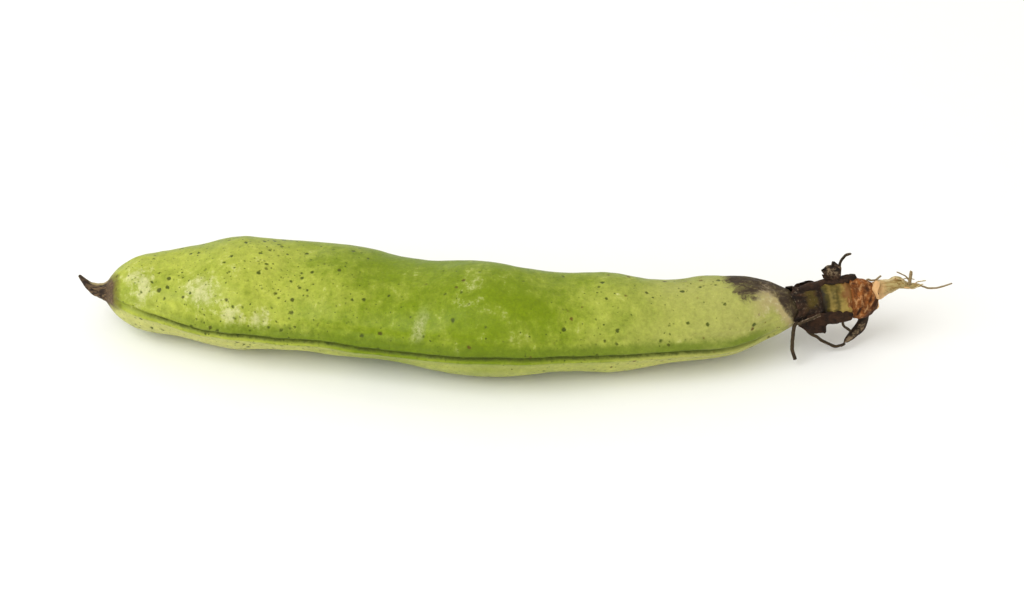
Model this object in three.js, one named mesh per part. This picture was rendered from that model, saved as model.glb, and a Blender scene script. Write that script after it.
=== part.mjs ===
// One broad bean pod, as picked, lying on a broad face.
// Units are millimetres and +Z is up. The pod runs along X, with its beak at -X and its stalk at +X.
// Its two seams run along its edges: the split, double-lipped seam at -Y and the plain keel at +Y.
// Everything is laid out from the pod's nose, and the whole part is moved at the end so that the origin
// is under its middle, on the surface that it lies on.
import * as THREE from "three";

const BEAK_LENGTH = 6.9;
const NECK_AT = 162; // from the nose to the mouth of the calyx
const STIPE_LENGTH = 4.6; // the pod's own short stalk, inside the calyx
const POD_SIDES = 40;
const POD_ROWS = 60;
const ROWS_TO_ENDS = 0.7; // how strongly a section's rows crowd towards the beak and the neck
const SIDES_TO_SEAMS = 0.28; // how strongly the points of a section crowd towards its two seams

const LIP_HEIGHT = 0.5; // of the two lips beside the split seam
const LIP_SPREAD = 1.1; // from the seam to a lip
const LIP_REACH = 0.8;
const SEAM_DEPTH = 0.5;
const SEAM_REACH = 0.5;
const KEEL_HEIGHT = 0.45;
const KEEL_REACH = 1;
const SEAM_BLEND = 6; // length over which the seams rise out of the nose and the neck
const FULLNESS = 0.92; // exponent of a section: 1 is an ellipse, less is fuller

const STALK_TURN = 12.4; // degrees, towards the keel
const STALK_RISE = 6.7; // degrees
const CALYX_RIM = 0.9; // from the neck to the calyx's mouth
const CALYX_FLOOR = 7.5; // and to its far side
const CALYX_LIFT = 0.2; // of the calyx's middle over the stalk's line
const RIM_RAGGEDNESS = 0.4;
const GAP = 0.3; // clearance between pieces that touch
const THREAD = 1; // diameter of a withered stamen thread
const FIBRE = 0.5; // diameter of a torn fibre

// Each bean inside swells the pod: its place from the nose, how far it lifts each face, its reach.
const BEANS = [
  { at: 10.5, lift: 1.1, reach: 7 },
  { at: 31, lift: 3.1, reach: 11 },
  { at: 56, lift: 1.5, reach: 9 },
  { at: 92, lift: 3.4, reach: 15 },
  { at: 120, lift: 2.1, reach: 9 },
  { at: 143, lift: 0.5, reach: 8 },
];

// The pod's middle line and its half sizes, from the beak's tip to the stipe's end: [place, value].
const sideways = through([
  [-6.9, 3], [-5.4, 1.9], [-3.9, 0.8], [-1.8, 0.2], [0, 0.1], [10, 0.3], [16, 0.2], [28, -0.1],
  [40, -0.4], [52, -1.3], [64, -3.6], [75, -5.7], [95, -8.2], [108, -7], [118, -5.8], [131, -4.7],
  [144, -2.5], [151, -1.3], [157, -0.4], [162, 0], [166.6, 0.9],
]);
const height = through([
  [-6.9, 12.1], [-5.4, 11.1], [-3.9, 10.3], [-1.8, 9.75], [0, 9.6], [10, 9.9], [21, 10.4],
  [31, 10.8], [56, 10.9], [75, 11], [95, 11.4], [108, 10.7], [120, 9.7], [143, 9.5], [151, 10.1],
  [157, 10.5], [162, 11], [166.6, 11.5],
]);
const halfWidth = through([
  [-6.9, 0.25], [-5.2, 0.7], [-3.4, 1.2], [-1.6, 1.65], [0, 2.4], [1.1, 3.9], [2.6, 5.9],
  [4.5, 7.4], [7, 8.7], [10, 9.7], [14, 11], [21, 13.2], [28, 15], [35, 15.7], [52, 16.1],
  [73, 15.2], [83, 15], [95, 14], [118, 12.6], [132, 11.6], [143, 11], [151, 9],
  [156.6, 6.8], [161.4, 4.5], [163.2, 3.4], [165, 2.8], [166.6, 2.3],
]);
const halfThickness = through([
  [-6.9, 0.25], [-5.2, 0.65], [-3.4, 1.1], [-1.6, 1.5], [0, 2], [1.1, 3.4], [2.6, 4.7],
  [4.5, 5.8], [7, 6.8], [10, 7.3], [21, 7.9], [40, 8.2], [60, 8.2], [80, 8.4], [98, 8.5],
  [120, 8], [143, 7.6], [151, 7.3], [156.6, 6.2], [161.4, 4.2], [163.2, 3.3], [165, 2.8],
  [166.6, 2.3],
]);
// How far the split seam lies over the pod's middle: high on the nose and low on the neck.
const seamHeight = through([
  [-6.9, 2.6], [0, 2.5], [5.6, 2.1], [11, 1.6], [18, 0.9], [27, 0], [130, 0], [146, -1.2],
  [155, -1.7], [166.6, -1.5],
]);

// A smooth curve through [place, value] points, read by place. Steps are cubic, so nothing overshoots.
function through(points) {
  const slope = points.map((point, i) => {
    if (i === 0 || i === points.length - 1) return 0;
    const [before, after] = [points[i - 1], points[i + 1]];
    const left = (point[1] - before[1]) / (point[0] - before[0]);
    const right = (after[1] - point[1]) / (after[0] - point[0]);
    return left * right <= 0 ? 0 : (2 * left * right) / (left + right);
  });
  slope[0] = (points[1][1] - points[0][1]) / (points[1][0] - points[0][0]);
  return (place) => {
    let i = 0;
    while (i < points.length - 2 && place > points[i + 1][0]) i += 1;
    const [[x0, v0], [x1, v1]] = [points[i], points[i + 1]];
    const step = x1 - x0;
    const t = THREE.MathUtils.clamp((place - x0) / step, 0, 1);
    const [a, b] = [slope[i] * step, slope[i + 1] * step];
    return v0 + t * (a + t * (3 * (v1 - v0) - 2 * a - b + t * (2 * (v0 - v1) + a + b)));
  };
}

const bell = (distance, reach) => Math.exp(-((distance / reach) ** 2));

function beanLift(place) {
  return BEANS.reduce((sum, bean) => sum + bean.lift * bell(place - bean.at, bean.reach), 0);
}

// How much of the seams' relief shows: none on the beak and on the stipe.
function seamShare(place) {
  const fromNose = THREE.MathUtils.smoothstep(place, 0, SEAM_BLEND);
  const fromNeck = THREE.MathUtils.smoothstep(NECK_AT - 2 - place, 0, SEAM_BLEND);
  return fromNose * fromNeck;
}

// A closed body of rows along a line: a sphere's grid, moved point by point. Each point is placed by how
// far along the line its row is and how far round the row it is, both from 0 to 1.
function bodyOfRows(sides, rows, place) {
  const body = new THREE.SphereGeometry(1, sides, rows);
  const position = body.getAttribute("position");
  for (let i = 0; i < position.count; i += 1) {
    const row = Math.floor(i / (sides + 1));
    const turn = (i % (sides + 1)) / sides;
    const point = place(row / rows, turn % 1, row === 0 || row === rows);
    position.setXYZ(i, point.x, point.y, point.z);
  }
  return body;
}

function podPoint(along, turn, isEnd) {
  const even = 2 * Math.PI * along;
  const start = -BEAK_LENGTH;
  const length = NECK_AT + STIPE_LENGTH + BEAK_LENGTH;
  const x = start + (length * (even - ROWS_TO_ENDS * Math.sin(even))) / (2 * Math.PI);
  const middle = new THREE.Vector3(x, sideways(x), height(x));
  if (isEnd) return middle;
  const ahead = new THREE.Vector3(x + 0.1, sideways(x + 0.1), height(x + 0.1));
  const forward = ahead.sub(middle).normalize();
  const back = new THREE.Vector3(0, 0, 1).cross(forward).normalize();
  const up = forward.clone().cross(back);

  const angle = 2 * Math.PI * turn - SIDES_TO_SEAMS * Math.sin(4 * Math.PI * turn);
  const [c, s] = [Math.cos(angle), Math.sin(angle)];
  const rise = (halfThickness(x) + beanLift(x)) * Math.sign(s) * Math.abs(s) ** FULLNESS;
  let out = halfWidth(x) * Math.sign(c) * Math.abs(c) ** FULLNESS;
  const fromSeam = rise - seamHeight(x);
  const lips = bell(fromSeam - LIP_SPREAD, LIP_REACH) + bell(fromSeam + LIP_SPREAD, LIP_REACH);
  const frontRelief = LIP_HEIGHT * lips - SEAM_DEPTH * bell(fromSeam, SEAM_REACH);
  const keelRelief = KEEL_HEIGHT * bell(rise, KEEL_REACH);
  out += seamShare(x) * (c > 0 ? frontRelief : -keelRelief);

  const point = middle.addScaledVector(back, -out).addScaledVector(up, rise);
  point.z = Math.max(point.z, 0); // the lowest swellings lie flat on the surface
  return point;
}

// Half widths of a strip as shares of its own, by share of its length, from its base to its end.
const LEAF = [[0, 0.55], [0.15, 0.85], [0.5, 1], [0.8, 0.8], [0.94, 0.5], [1, 0.1]];
const FLAP = [[0, 0.3], [0.3, 0.6], [0.7, 0.95], [0.92, 1], [0.98, 0.8], [1, 0.2]];
const LONG_LEAF = [[0, 0.8], [0.1, 1], [0.6, 1], [0.88, 0.8], [0.97, 0.5], [1, 0.1]];
const SCRAP = [[0, 0.35], [0.25, 0.7], [0.6, 1], [0.85, 0.95], [0.96, 0.6], [1, 0.15]];
const TORN = [[0, 0.7], [0.25, 1], [0.55, 0.95], [0.75, 0.6], [0.92, 0.35], [1, 0.1]];
const TAPER = [[0, 0.75], [0.2, 1], [0.5, 0.95], [0.72, 0.75], [0.9, 0.45], [1, 0.12]];
const THREADLIKE = [[0, 1], [0.1, 0.95], [0.75, 0.9], [0.95, 0.7], [1, 0.2]];

// A flat strip or a thread along a line of points. Its broad side looks towards facing.
function strip(points, { width, thickness = width, facing = [0, 0, 1], outline, sides = 8, rows = 12 }) {
  const line = new THREE.CatmullRomCurve3(points.map((point) => new THREE.Vector3(...point)));
  const share = through(outline);
  return bodyOfRows(sides, rows, (along, turn, isEnd) => {
    const middle = line.getPointAt(along);
    if (isEnd) return middle;
    const forward = line.getTangentAt(along);
    const across = forward.clone().cross(new THREE.Vector3(...facing)).normalize();
    const face = across.clone().cross(forward);
    const angle = 2 * Math.PI * turn;
    return middle
      .addScaledVector(across, (width / 2) * share(along) * Math.cos(angle))
      .addScaledVector(face, (thickness / 2) * share(along) * Math.sin(angle));
  });
}

// A lumpy stalk along a line, whose radius is read from [share of its length, radius] points.
function stalkBody(points, radii, { sides = 14, rows = 12, lump = 0.06, lobes = 5 }) {
  const line = new THREE.CatmullRomCurve3(points.map((point) => new THREE.Vector3(...point)));
  const radius = through(radii);
  return bodyOfRows(sides, rows, (along, turn, isEnd) => {
    const middle = line.getPointAt(along);
    if (isEnd) return middle;
    const forward = line.getTangentAt(along);
    const helper = Math.abs(forward.z) > 0.7 ? new THREE.Vector3(1, 0, 0) : new THREE.Vector3(0, 0, 1);
    const across = forward.clone().cross(helper).normalize();
    const face = across.clone().cross(forward);
    const angle = 2 * Math.PI * turn;
    const r = radius(along) * (1 + lump * Math.sin(lobes * angle + 4 * along));
    return middle.addScaledVector(across, r * Math.cos(angle)).addScaledVector(face, r * Math.sin(angle));
  });
}

// The withered calyx tube: a cup with a ragged rim, open towards the pod, its floor at the pedicel.
function calyxTube() {
  const outline = [
    [0, CALYX_FLOOR], [2.3, CALYX_FLOOR], [3.3, 6.9], [3.65, 5.2], [3.85, 3.4], [4.2, 2.1], [4.7, CALYX_RIM],
    [4.4, CALYX_RIM], [3.9, 2.1], [3.5, 3.4], [3.2, 5], [2.6, 6.1], [0, 6.4],
  ].map(([radius, along]) => new THREE.Vector2(radius, -along));
  const sides = 20;
  const cup = new THREE.LatheGeometry(outline, sides);
  const position = cup.getAttribute("position");
  for (let i = 0; i < position.count; i += 1) {
    const angle = (2 * Math.PI * Math.floor(i / outline.length)) / sides;
    const nearRim = THREE.MathUtils.smoothstep(position.getY(i), -CALYX_RIM - 2, -CALYX_RIM);
    position.setY(i, position.getY(i) + nearRim * RIM_RAGGEDNESS * Math.sin(5 * angle));
  }
  return cup.rotateZ(Math.PI / 2).translate(0, 0, CALYX_LIFT);
}

const finishes = {
  pod_skin: { color: 0xa3b648, roughness: 0.5 },
  calyx_brown: { color: 0x3a2a24, roughness: 0.85 },
  pedicel_green: { color: 0x8f9140, roughness: 0.6 },
  peduncle_rust: { color: 0x8e4f28, roughness: 0.8 },
  stub_straw: { color: 0xc9ab68, roughness: 0.8 },
  thread_brown: { color: 0x4a3a2a, roughness: 0.85 },
};

function piece(name, finish, geometry) {
  const material = new THREE.MeshStandardMaterial({ ...finishes[finish], metalness: 0 });
  const mesh = new THREE.Mesh(geometry, material);
  mesh.name = name;
  return mesh;
}

const part = new THREE.Group();
part.add(piece("pod", "pod_skin", bodyOfRows(POD_SIDES, POD_ROWS, podPoint)));

// The stalk end is laid out in a frame of its own: X along the stalk, Y to the back, Z up.
const stalk = new THREE.Group();
stalk.position.set(NECK_AT, sideways(NECK_AT), height(NECK_AT));
stalk.rotation.set(0, -THREE.MathUtils.degToRad(STALK_RISE), THREE.MathUtils.degToRad(STALK_TURN), "ZYX");
part.add(stalk);

stalk.add(piece("calyx_tube", "calyx_brown", calyxTube()));
stalk.add(piece("pedicel", "pedicel_green", stalkBody(
  [[CALYX_FLOOR + GAP, 0, 0.3], [10, -0.1, 0.3], [12.6, -0.3, 0]],
  [[0, 2.4], [0.1, 3.3], [0.45, 3.5], [0.85, 3.4], [1, 2.8]],
  { lump: 0.03 },
)));
stalk.add(piece("peduncle_knot", "peduncle_rust", stalkBody(
  [[13, -0.4, -0.1], [15.4, -0.8, -0.5], [17.4, -1.3, -1.6], [19.6, -1.9, -3.2]],
  [[0, 2.8], [0.12, 3.7], [0.4, 4], [0.62, 3.9], [0.85, 2.9], [0.96, 1.9], [1, 1.2]],
  { rows: 16, lump: 0.04 },
)));
stalk.add(piece("peduncle_stub", "stub_straw", strip(
  [[21, -0.8, 0.4], [23.8, -0.4, 0.7], [26, 0, 0.5], [28.3, 0, -0.8], [30, -0.1, -1]],
  {
    width: 4.6, thickness: 1.5, facing: [-0.2, -0.85, 0.5], sides: 12, rows: 16,
    outline: [[0, 0.85], [0.12, 0.95], [0.4, 0.75], [0.65, 0.5], [0.85, 0.3], [1, 0.12]],
  },
)));

const sepals = {
  sepal_front_broad: {
    points: [[0.9, -4.9, -3.1], [2.6, -4.9, -3.9], [4.8, -4.5, -4.6], [7.3, -4.1, -4.9]],
    width: 2.8, facing: [0, -0.95, 0.1], outline: FLAP,
  },
  sepal_front_long: {
    points: [[2.4, -4.9, -1.3], [5.6, -4.7, -1.6], [9, -4.6, -1.9], [13.6, -5, -2.4]],
    width: 2.4, facing: [0, -0.8, 0.6], outline: LONG_LEAF,
  },
  sepal_top: {
    points: [[2.2, 0.2, 5.1], [4.4, 0.6, 4.9], [6.5, 0.9, 4.8], [9.2, 1.5, 4.9]],
    width: 3.4, facing: [-0.1, -0.3, 0.95], outline: LEAF,
  },
  sepal_back_high: {
    points: [[1.6, 4.8, 2.4], [2.8, 4.6, 2.2], [4.8, 4.3, 1.9], [8.7, 4.5, 0.8]],
    width: 3, facing: [0, 0.9, 0.4], outline: LEAF,
  },
  sepal_back_low: {
    points: [[1.4, 4.2, -3.1], [2.4, 4.2, -3.4], [4.6, 4.1, -4.2], [8.3, 3.6, -5.9]],
    width: 2.9, facing: [0, 0.7, -0.7], outline: LEAF,
  },
};
for (const [name, shape] of Object.entries(sepals)) {
  stalk.add(piece(name, "calyx_brown", strip(shape.points, { thickness: 0.6, ...shape })));
}
stalk.add(piece("petal_upright", "calyx_brown", strip(
  [[10.4, 2.3, 5.8], [10.7, 2.8, 6.6], [10.6, 3.4, 7.6], [10.2, 4.2, 8.7]],
  { width: 4.4, thickness: 0.7, facing: [-0.3, -0.9, 0.3], outline: TORN },
)));
stalk.add(piece("petal_lying", "calyx_brown", strip(
  [[9.9, 1.1, 4.6], [11.4, 1.2, 4.6], [13.4, 1.3, 4.6], [16.2, 1.7, 4.3]],
  { width: 3, thickness: 0.7, facing: [-0.1, -0.3, 1], outline: SCRAP },
)));
stalk.add(piece("flower_stalk", "calyx_brown", strip(
  [[17, -2.3, -6], [15.7, -2.9, -7.8], [13.9, -3.6, -8.9], [11.9, -4.4, -9.7]],
  { width: 2.6, thickness: 1, facing: [0.1, -0.75, 0.6], outline: TAPER },
)));

const threads = {
  thread_hanging: [[-0.5, -5.3, -1.5], [-1.7, -6.4, -4.7], [-2, -7.6, -7.1], [-1.9, -8.4, -9]],
  thread_pale: [[0.2, -5.9, -0.9], [1.2, -6, -0.4], [3.2, -5.9, 0.1], [5.7, -5.6, 0.4]],
  thread_looped: [
    [3.4, -4.5, -6.3], [5.4, -4.6, -7.8], [7.9, -4.9, -9.8], [9.9, -5, -10.5], [11, -5, -10.6],
  ],
  thread_short: [[10.9, -4.9, -4], [11.3, -4.7, -5.3], [12, -4.5, -6.4], [12.8, -4.4, -7.2]],
  thread_top: [[12.6, 2.4, 5.9], [13, 3.5, 6.5], [13.5, 4.4, 7.5], [14.6, 4.9, 8.1], [16.3, 5.3, 8]],
};
for (const [name, points] of Object.entries(threads)) {
  const thread = strip(points, { width: THREAD, facing: [1, 0, 0], outline: THREADLIKE, sides: 6 });
  stalk.add(piece(name, "thread_brown", thread));
}

const fibres = {
  fibre_long: [
    [30.6, -0.1, -0.9], [31.9, -0.4, -1.6], [32.9, -0.8, -2.1], [34.9, -1.4, -1.9], [38.4, -1.7, -1.3],
  ],
  fibre_upright: [[28.5, 0.1, 0.2], [28.9, 0.5, 1.2], [29.3, 1.2, 2.7]],
  fibre_short: [[27.6, 1, 1.5], [26.9, 1.2, 2.4], [25.9, 1.6, 3]],
  fibre_hooked: [[17.6, 0.9, 3.1], [18.7, 1.2, 3.2], [19.7, 1.1, 2.9], [20.8, 1.1, 2.9], [22.2, 1.6, 3.2]],
};
for (const [name, points] of Object.entries(fibres)) {
  const fibre = strip(points, { width: FIBRE, facing: [0, 1, 0.3], outline: THREADLIKE, sides: 6 });
  stalk.add(piece(name, "stub_straw", fibre));
}

// The origin goes under the middle of the part, on the surface.
part.updateMatrixWorld(true);
const box = new THREE.Box3().setFromObject(part, true);
const middle = box.getCenter(new THREE.Vector3());
part.position.set(-middle.x, -middle.y, -box.min.z);

export default part;
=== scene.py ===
"""One broad bean pod, as picked, lying on a pale floor.

The CAD pod gives the model its place. The pod is modelled here in millimetres from its nose and every
other piece in the stalk's own frame, and all of them are then moved into the CAD model's frame.
"""
import math

import bmesh
import bpy
from bpy.props import FloatProperty, FloatVectorProperty, PointerProperty
from mathutils import Matrix, Vector, noise
from mathutils.geometry import interpolate_bezier


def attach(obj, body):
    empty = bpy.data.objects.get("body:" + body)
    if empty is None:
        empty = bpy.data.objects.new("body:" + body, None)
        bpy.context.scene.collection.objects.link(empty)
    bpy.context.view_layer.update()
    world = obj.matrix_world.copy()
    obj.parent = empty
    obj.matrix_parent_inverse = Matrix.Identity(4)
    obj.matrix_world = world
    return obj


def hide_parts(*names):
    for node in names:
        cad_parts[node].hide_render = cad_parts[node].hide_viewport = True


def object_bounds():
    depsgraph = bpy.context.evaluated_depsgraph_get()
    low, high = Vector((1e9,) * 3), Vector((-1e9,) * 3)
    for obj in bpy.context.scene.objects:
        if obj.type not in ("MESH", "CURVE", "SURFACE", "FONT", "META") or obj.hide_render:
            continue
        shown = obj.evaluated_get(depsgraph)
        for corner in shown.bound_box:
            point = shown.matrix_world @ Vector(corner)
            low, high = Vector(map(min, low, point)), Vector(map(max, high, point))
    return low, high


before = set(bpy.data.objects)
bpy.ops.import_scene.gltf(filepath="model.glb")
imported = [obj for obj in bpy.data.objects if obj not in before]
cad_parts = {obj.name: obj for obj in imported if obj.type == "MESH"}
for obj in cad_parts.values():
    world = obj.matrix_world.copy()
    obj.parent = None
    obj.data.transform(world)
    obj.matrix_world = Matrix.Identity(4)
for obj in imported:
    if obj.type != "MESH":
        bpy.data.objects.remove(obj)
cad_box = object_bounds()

bl_info = {
    "name": "Broad bean pod",
    "version": (1, 0, 0),
    "blender": (4, 5, 0),
    "location": "View3D > Sidebar > Bean pod",
    "description": "Builds one picked broad bean pod with its withered calyx and torn stalk",
    "category": "Object",
}

MM = 0.001
FULL_TURN = 2 * math.pi

# The pod's outline, as the CAD part has it: lengths from the nose, in millimetres.
BEAK_LENGTH = 6.9
NECK_AT = 162
STIPE_LENGTH = 4.6
# The power that shapes its cross-section: 1 is an ellipse, and less is fuller.
FULLNESS = 0.92

# How far its grid's rows crowd towards its ends, and its sides towards its two seams.
ROWS_TO_ENDS = 0.55
SIDES_TO_SEAMS = 0.28

# Its seams: the keel's ridge, how soon both seams fade out at the ends, and how far the split seam's
# lips and furrows lie from it.
KEEL_HEIGHT = 0.45
KEEL_REACH = 1
SEAM_BLEND = 6
LIP_FROM_SEAM = 1.1
FURROW_ABOVE = 3.7
FURROW_BELOW = 3.3

BEAK_RIDGES = 5

# The beans inside: place from the nose, how far each one lifts the face, its reach.
BEANS = (
    (10.5, 1.1, 7),
    (31, 3.1, 11),
    (56, 1.5, 9),
    (92, 3.4, 15),
    (120, 2.1, 9),
    (143, 0.5, 8),
)

# Pale spots, partly worn skin and partly painted highlight: place from the nose, how far round it is from the
# split seam to the top, reach.
WORN_AND_LIT_SPOTS = ((9.5, 55, 9), (25, 46, 10), (32, 24, 7), (38.5, 24, 5.5))

# A crease pressed into the face: its place from the nose, how it leans, its height over the seam. The
# skin beside it, towards the nose and the seam, is paler: partly worn skin, partly a painted highlight.
CREASE_AT = 78.5
CREASE_LEAN = 0.25
CREASE_HEIGHT = 7.5
WORN_AND_LIT_BESIDE = 2

# The stalk's frame starts in the pod's neck. Its X runs along the stalk and its Z is nearly up.
STALK_TURN = math.radians(12.4)
STALK_RISE = math.radians(6.7)


def through(points):
    """A smooth curve through (place, value) points, which never swings past a point, read by place."""
    places = [place for place, value in points]
    values = [value for place, value in points]
    steps = [b - a for a, b in zip(places, places[1:])]
    chords = [(b - a) / step for a, b, step in zip(values, values[1:], steps)]
    slopes = [chords[0]]
    for left, right in zip(chords, chords[1:]):
        slopes.append(0 if left * right <= 0 else 2 * left * right / (left + right))
    slopes.append(0)

    def value_at(place):
        i = 0
        while i < len(steps) - 1 and place > places[i + 1]:
            i += 1
        t = min(max((place - places[i]) / steps[i], 0), 1)
        start, end = values[i], values[i + 1]
        a, b = slopes[i] * steps[i], slopes[i + 1] * steps[i]
        return start + t * (a + t * (3 * (end - start) - 2 * a - b + t * (2 * (start - end) + a + b)))

    return value_at


sideways = through([
    (-6.9, 3), (-5.4, 1.9), (-3.9, 0.8), (-1.8, 0.2), (0, 0.1), (10, 0.3), (16, 0.2), (28, -0.1), (40, -0.4),
    (52, -1.3), (64, -3.6), (75, -5.7), (95, -8.2), (108, -7), (118, -5.8), (131, -4.7),
    (144, -2.5), (151, -1.3), (157, -0.4), (162, 0), (166.6, 0.9),
])
height = through([
    (-6.9, 12.1), (-5.4, 11.1), (-3.9, 10.3), (-1.8, 9.75), (0, 9.6), (10, 9.9), (21, 10.4),
    (31, 10.8), (56, 10.9), (75, 11), (95, 11.4), (108, 10.7), (120, 9.7), (143, 9.5), (151, 10.1),
    (157, 10.5), (162, 11), (166.6, 11.5),
])
half_width = through([
    (-6.9, 0.25), (-5.2, 0.7), (-3.4, 1.2), (-1.6, 1.65), (0, 2.4), (1.1, 3.9), (2.6, 5.9),
    (4.5, 7.4), (7, 8.7), (10, 9.7), (14, 11), (21, 13.2), (28, 15), (35, 15.7), (52, 16.1),
    (73, 15.2), (83, 15), (95, 14), (118, 12.6), (132, 11.6), (143, 11), (151, 9),
    (156.6, 6.8), (161.4, 4.5), (163.2, 3.4), (165, 2.8), (166.6, 2.3),
])
half_thickness = through([
    (-6.9, 0.25), (-5.2, 0.65), (-3.4, 1.1), (-1.6, 1.5), (0, 2), (1.1, 3.4), (2.6, 4.7),
    (4.5, 5.8), (7, 6.8), (10, 7.3), (21, 7.9), (40, 8.2), (60, 8.2), (80, 8.4), (98, 8.5),
    (120, 8), (143, 7.6), (151, 7.3), (156.6, 6.2), (161.4, 4.2), (163.2, 3.3), (165, 2.8),
    (166.6, 2.3),
])
# How far the split seam lies over the pod's middle: it starts high on the nose and ends low on the neck.
seam_height = through([
    (-6.9, 2.6), (0, 2.5), (5.6, 2.1), (11, 1.6), (18, 0.9), (27, 0), (130, 0), (146, -1.2),
    (155, -1.7), (166.6, -1.5),
])


def find_nose():
    """Where the pod's nose is in the CAD frame: the beak's tip is the CAD pod's lowest vertex in X."""
    tip = min((vertex.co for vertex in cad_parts["pod"].data.vertices), key=lambda co: co.x)
    laid_out = Vector((-BEAK_LENGTH, sideways(-BEAK_LENGTH), height(-BEAK_LENGTH)))
    return tip - MM * laid_out


POD_PLACE = Matrix.Translation(find_nose()) @ Matrix.Scale(MM, 4)
STALK_PLACE = (
    POD_PLACE
    @ Matrix.Translation((NECK_AT, sideways(NECK_AT), height(NECK_AT)))
    @ Matrix.Rotation(STALK_TURN, 4, "Z")
    @ Matrix.Rotation(-STALK_RISE, 4, "Y")
)


def linear(red, green, blue):
    """A colour as shown on a screen, each part from 0 to 1, as the linear values that shaders use."""

    def shader_value(part):
        return ((part + 0.055) / 1.055) ** 2.4 if part > 0.04 else part / 12.92

    return tuple(shader_value(part) for part in (red, green, blue))


def bell(distance, reach):
    return math.exp(-((distance / reach) ** 2))


def blend_in(value, start, end):
    """0 before start and 1 past end, with a smooth step between. It falls where start is past end."""
    t = min(max((value - start) / (end - start), 0), 1)
    return t * t * (3 - 2 * t)


def wobble(size, *place):
    """Smooth noise from -1 to 1 whose lumps are about size long."""
    return noise.noise(Vector(place) / size)


# ---------------------------------------------------------------------------------------- meshes


class Route:
    """A smooth line through points, read by the share of its length, from 0 to 1."""

    STEPS = 24

    def __init__(self, points):
        knots = [Vector(point) for point in points]
        knots = [2 * knots[0] - knots[1], *knots, 2 * knots[-1] - knots[-2]]
        self.line = [knots[1]]
        for before, start, end, after in zip(knots, knots[1:], knots[2:], knots[3:]):
            handles = (start + (end - before) / 6, end - (after - start) / 6)
            self.line += interpolate_bezier(start, *handles, end, self.STEPS)[1:]
        self.passed = [0.0]
        for a, b in zip(self.line, self.line[1:]):
            self.passed.append(self.passed[-1] + (b - a).length)
        self.length = self.passed[-1]

    def point(self, share):
        reached = min(max(share, 0), 1) * self.length
        i = 0
        while i < len(self.line) - 2 and reached > self.passed[i + 1]:
            i += 1
        t = (reached - self.passed[i]) / (self.passed[i + 1] - self.passed[i])
        return self.line[i].lerp(self.line[i + 1], t)

    def axes(self, share, facing):
        """Directions along the line, across it, and towards facing."""
        forward = (self.point(share + 0.02) - self.point(share - 0.02)).normalized()
        across = forward.cross(Vector(facing)).normalized()
        return forward, across, across.cross(forward)


def add_ball(bm, sides, rows, place):
    """Adds a closed body: a ball's grid, whose rows run along a line and whose sides go round it.

    place(along, turn, is_end) gives a vertex's point and its layer values by name. along and turn are
    shares from 0 to 1. sides is a multiple of four: otherwise the ball's sides would lie halfway between
    two turns, and rounding would put two of them in one place.
    """
    if sides % 4:
        raise ValueError(f"{sides} sides is not a multiple of four")
    layers = {}
    for name in place(0, 0, True)[1]:
        layers[name] = bm.verts.layers.float.get(name) or bm.verts.layers.float.new(name)
    ball = bmesh.ops.create_uvsphere(bm, u_segments=sides, v_segments=rows, radius=1)
    for vertex in ball["verts"]:
        row = round(rows * math.acos(max(-1, min(1, vertex.co.z))) / math.pi)
        side = 0 if row in (0, rows) else round(sides * math.atan2(vertex.co.y, vertex.co.x) / FULL_TURN)
        vertex.co, values = place(row / rows, side % sides / sides, row in (0, rows))
        for name, layer in layers.items():
            vertex[layer] = values[name]


def add_object(name, bm, material):
    """Makes the mesh a smooth object of the scene."""
    for face in bm.faces:
        face.smooth = True
    mesh = bpy.data.meshes.new(name)
    bm.to_mesh(mesh)
    bm.free()
    mesh.materials.append(material)
    thing = bpy.data.objects.new(name, mesh)
    bpy.context.scene.collection.objects.link(thing)
    return thing


def add_piece(name, bm, place, material, node):
    """Makes the mesh a piece of the model that stands for a CAD node and rides where it does.

    add_ball's faces already point outwards. Recalculating them would turn folded strips inside out.
    """
    if bm.calc_volume(signed=True) <= 0:
        raise ValueError(f"{name} is inside out")
    bmesh.ops.transform(bm, matrix=place, verts=bm.verts)
    piece = add_object(name, bm, material)
    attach(piece, "root")
    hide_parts(node)


def add_strip(name, node, finish, *blade):
    """Adds a piece at the stalk end that is a single strip. blade is what add_blade takes."""
    bm = bmesh.new()
    add_blade(bm, *blade)
    add_piece(name, bm, STALK_PLACE, finish, node)


def add_blade(bm, points, width, thickness, facing, shape):
    """Adds a thin crumpled strip along points, whose broad side looks towards facing.

    shape holds: outline, the strip's half width as shares of width / 2 by share of its length; fold, how
    far its edges curl towards facing, as a share of its half width; crumple, how deep its crumples are
    and how long they are, in millimetres; ragged, how uneven its edges and its end are; seed, which
    makes it unlike the others; sides and rows of its grid.
    """
    route = Route(points)
    outline = through(shape["outline"])
    depth, reach = shape["crumple"]
    seed = shape["seed"]

    def place(along, turn, is_end):
        forward, across, face = route.axes(along, facing)
        at = route.length * along
        u, v = math.cos(FULL_TURN * turn), math.sin(FULL_TURN * turn)
        half = width / 2 * outline(along)
        torn = wobble(2.4, at, math.copysign(3, u), seed) + 0.3 * wobble(0.8, at, math.copysign(3, u), seed)
        half *= 1 + shape["ragged"] * torn
        lift = shape["fold"] * half * abs(u) ** 1.6
        lift += depth * wobble(reach, at, u * half, seed) * min(1, 6 * along)
        lift += 0.35 * depth * wobble(0.4 * reach, at, u * half, seed + 9)
        lift += thickness / 2 * v * (1 - 0.5 * abs(u) ** 3) * (0 if is_end else 1)
        point = route.point(along) + face * lift
        tatter = shape["ragged"] * width * blend_in(along, 0.55, 1)
        point += forward * tatter * wobble(0.3 * width, u * half, seed, 5)
        if not is_end:
            point += across * half * u
        return point, {"along": shape.get("aged", along), "across": u}

    add_ball(bm, shape.get("sides", 28), shape.get("rows", 56), place)


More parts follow.
